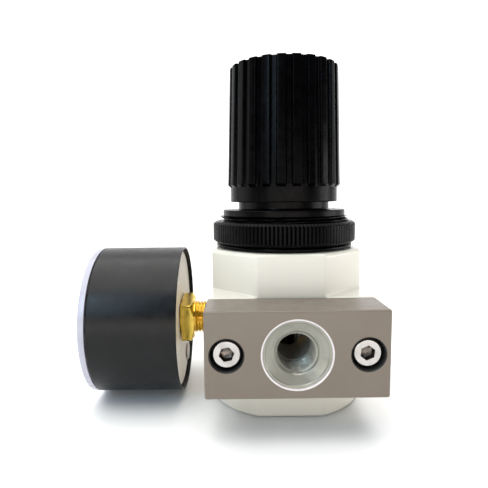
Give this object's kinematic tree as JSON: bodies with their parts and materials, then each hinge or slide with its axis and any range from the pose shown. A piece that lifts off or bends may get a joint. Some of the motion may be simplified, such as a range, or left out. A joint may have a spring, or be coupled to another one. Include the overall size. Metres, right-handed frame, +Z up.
{
  "type": "air pressure regulator",
  "caption": "Knob-operated relieving air pressure regulator with a knurled panel nut, flanged port plates and a round gauge on its side port.",
  "frame": {"origin": "centre of the flat underside, on the knob's axis", "axes": "+Z up along the knob's axis, +X away from the gauge, -Y out of the inlet port plate, +Y out of the outlet port plate"},
  "size_m": [0.0736, 0.0652, 0.0904],
  "materials": {
    "body_paint": "glossy warm off-white paint on die-cast metal",
    "plate_paint": "satin taupe-grey paint",
    "black_plastic": "satin black moulded plastic",
    "gauge_black": "satin black",
    "cream_paint": "matt cream",
    "window_clear": "clear moulded plastic with a faint violet edge",
    "brass": "machined",
    "nickel": "bright nickel plate",
    "spring_steel": "plain steel",
    "rubber": "matt black",
    "dial_white": "matt white dial"
  },
  "bodies": {
    "housing": {"body": "body_paint", "inlet_plate": "plate_paint", "outlet_plate": "plate_paint", "inlet_screw_left": "nickel", "inlet_screw_right": "nickel", "outlet_screw_left": "nickel", "outlet_screw_right": "nickel", "inlet_oring": "rubber", "outlet_oring": "rubber", "blanking_plug": "nickel", "valve_cap": "brass", "valve_cap_oring": "rubber", "valve_seat": "brass", "valve_spring": "spring_steel", "diaphragm": "rubber", "diaphragm_ring": "spring_steel", "range_spring": "spring_steel", "bonnet": "black_plastic", "thrust_washer": "spring_steel", "gauge_case": "gauge_black", "gauge_back_plate": "cream_paint", "gauge_window": "window_clear", "relief_plug": "rubber", "gauge_socket": "brass", "bourdon_tube": "brass", "bourdon_tip": "brass", "movement_rear_plate": "brass", "movement_front_plate": "brass", "movement_pillar_left": "brass", "movement_pillar_right": "brass", "movement_screw_left": "brass", "movement_screw_right": "brass", "gauge_dial": "dial_white", "dial_screw_left": "nickel", "dial_screw_right": "nickel", "hairspring": "spring_steel"},
    "spindle": {"spindle": "spring_steel", "spindle_circlip": "spring_steel"},
    "knob": {"knob": "black_plastic"},
    "spring_nut": {"spring_nut": "spring_steel"},
    "diaphragm_stack": {"diaphragm_plate": "spring_steel", "relief_seat": "brass"},
    "valve": {"valve_poppet": "brass", "valve_rubber": "rubber"},
    "slip_washer": {"slip_washer": "black_plastic"},
    "panel_nut": {"panel_nut": "black_plastic"},
    "pointer": {"pointer": "gauge_black", "pointer_pinion": "brass"},
    "sector": {"sector_gear": "brass"},
    "link": {"tube_link": "brass"}
  },
  "joints": [
    {"name": "spindle_turn", "type": "hinge", "parent": "housing", "child": "spindle", "pos_m": [0, 0, 0.08], "axis": [0, 0, -1], "range_deg": [0, 1800]},
    {"name": "knob_lock", "type": "slide", "parent": "spindle", "child": "knob", "axis": [0, 0, -1], "range_m": [0, 0.0018]},
    {"name": "spring_nut_travel", "type": "slide", "parent": "housing", "child": "spring_nut", "axis": [0, 0, -1], "range_m": [0, 0.00625], "deforming": ["range_spring"]},
    {"name": "diaphragm_stroke", "type": "slide", "parent": "housing", "child": "diaphragm_stack", "axis": [0, 0, -1], "range_m": [0, 0.0012], "stiffness_N_per_m": 800, "springref_m": -0.0005, "deforming": ["diaphragm"]},
    {"name": "valve_stroke", "type": "slide", "parent": "housing", "child": "valve", "axis": [0, 0, -1], "range_m": [0, 0.0012], "deforming": ["valve_spring"]},
    {"name": "panel_nut_advance", "type": "slide", "parent": "housing", "child": "slip_washer", "axis": [0, 0, 1], "range_m": [0, 0.006]},
    {"name": "panel_nut_turn", "type": "hinge", "parent": "slip_washer", "child": "panel_nut", "pos_m": [0, 0, 0.046], "axis": [0, 0, 1], "range_deg": [0, 1440]},
    {"name": "pointer_turn", "type": "hinge", "parent": "housing", "child": "pointer", "pos_m": [-0.0445, 0, 0.021], "axis": [1, 0, 0], "range_deg": [0, 270], "stiffness_Nm_per_rad": 0.0001, "springref_deg": -20.05},
    {"name": "sector_turn", "type": "hinge", "parent": "housing", "child": "sector", "pos_m": [-0.0418, 0, 0.0104], "axis": [1, 0, 0], "range_deg": [-45, 0]},
    {"name": "link_swing", "type": "hinge", "parent": "sector", "child": "link", "pos_m": [-0.0406, -0.00462, 0.00849], "axis": [1, 0, 0], "range_deg": [0, 45]}
  ],
  "couplings": [
    {"joint": "spring_nut_travel", "follows": "spindle_turn", "m_per_rad": 0.00019894},
    {"joint": "valve_stroke", "follows": "diaphragm_stroke", "ratio": 1},
    {"joint": "panel_nut_advance", "follows": "panel_nut_turn", "m_per_rad": 0.00023873},
    {"joint": "sector_turn", "follows": "pointer_turn", "ratio": -0.16667},
    {"joint": "link_swing", "follows": "pointer_turn", "ratio": 0.16667}
  ]
}
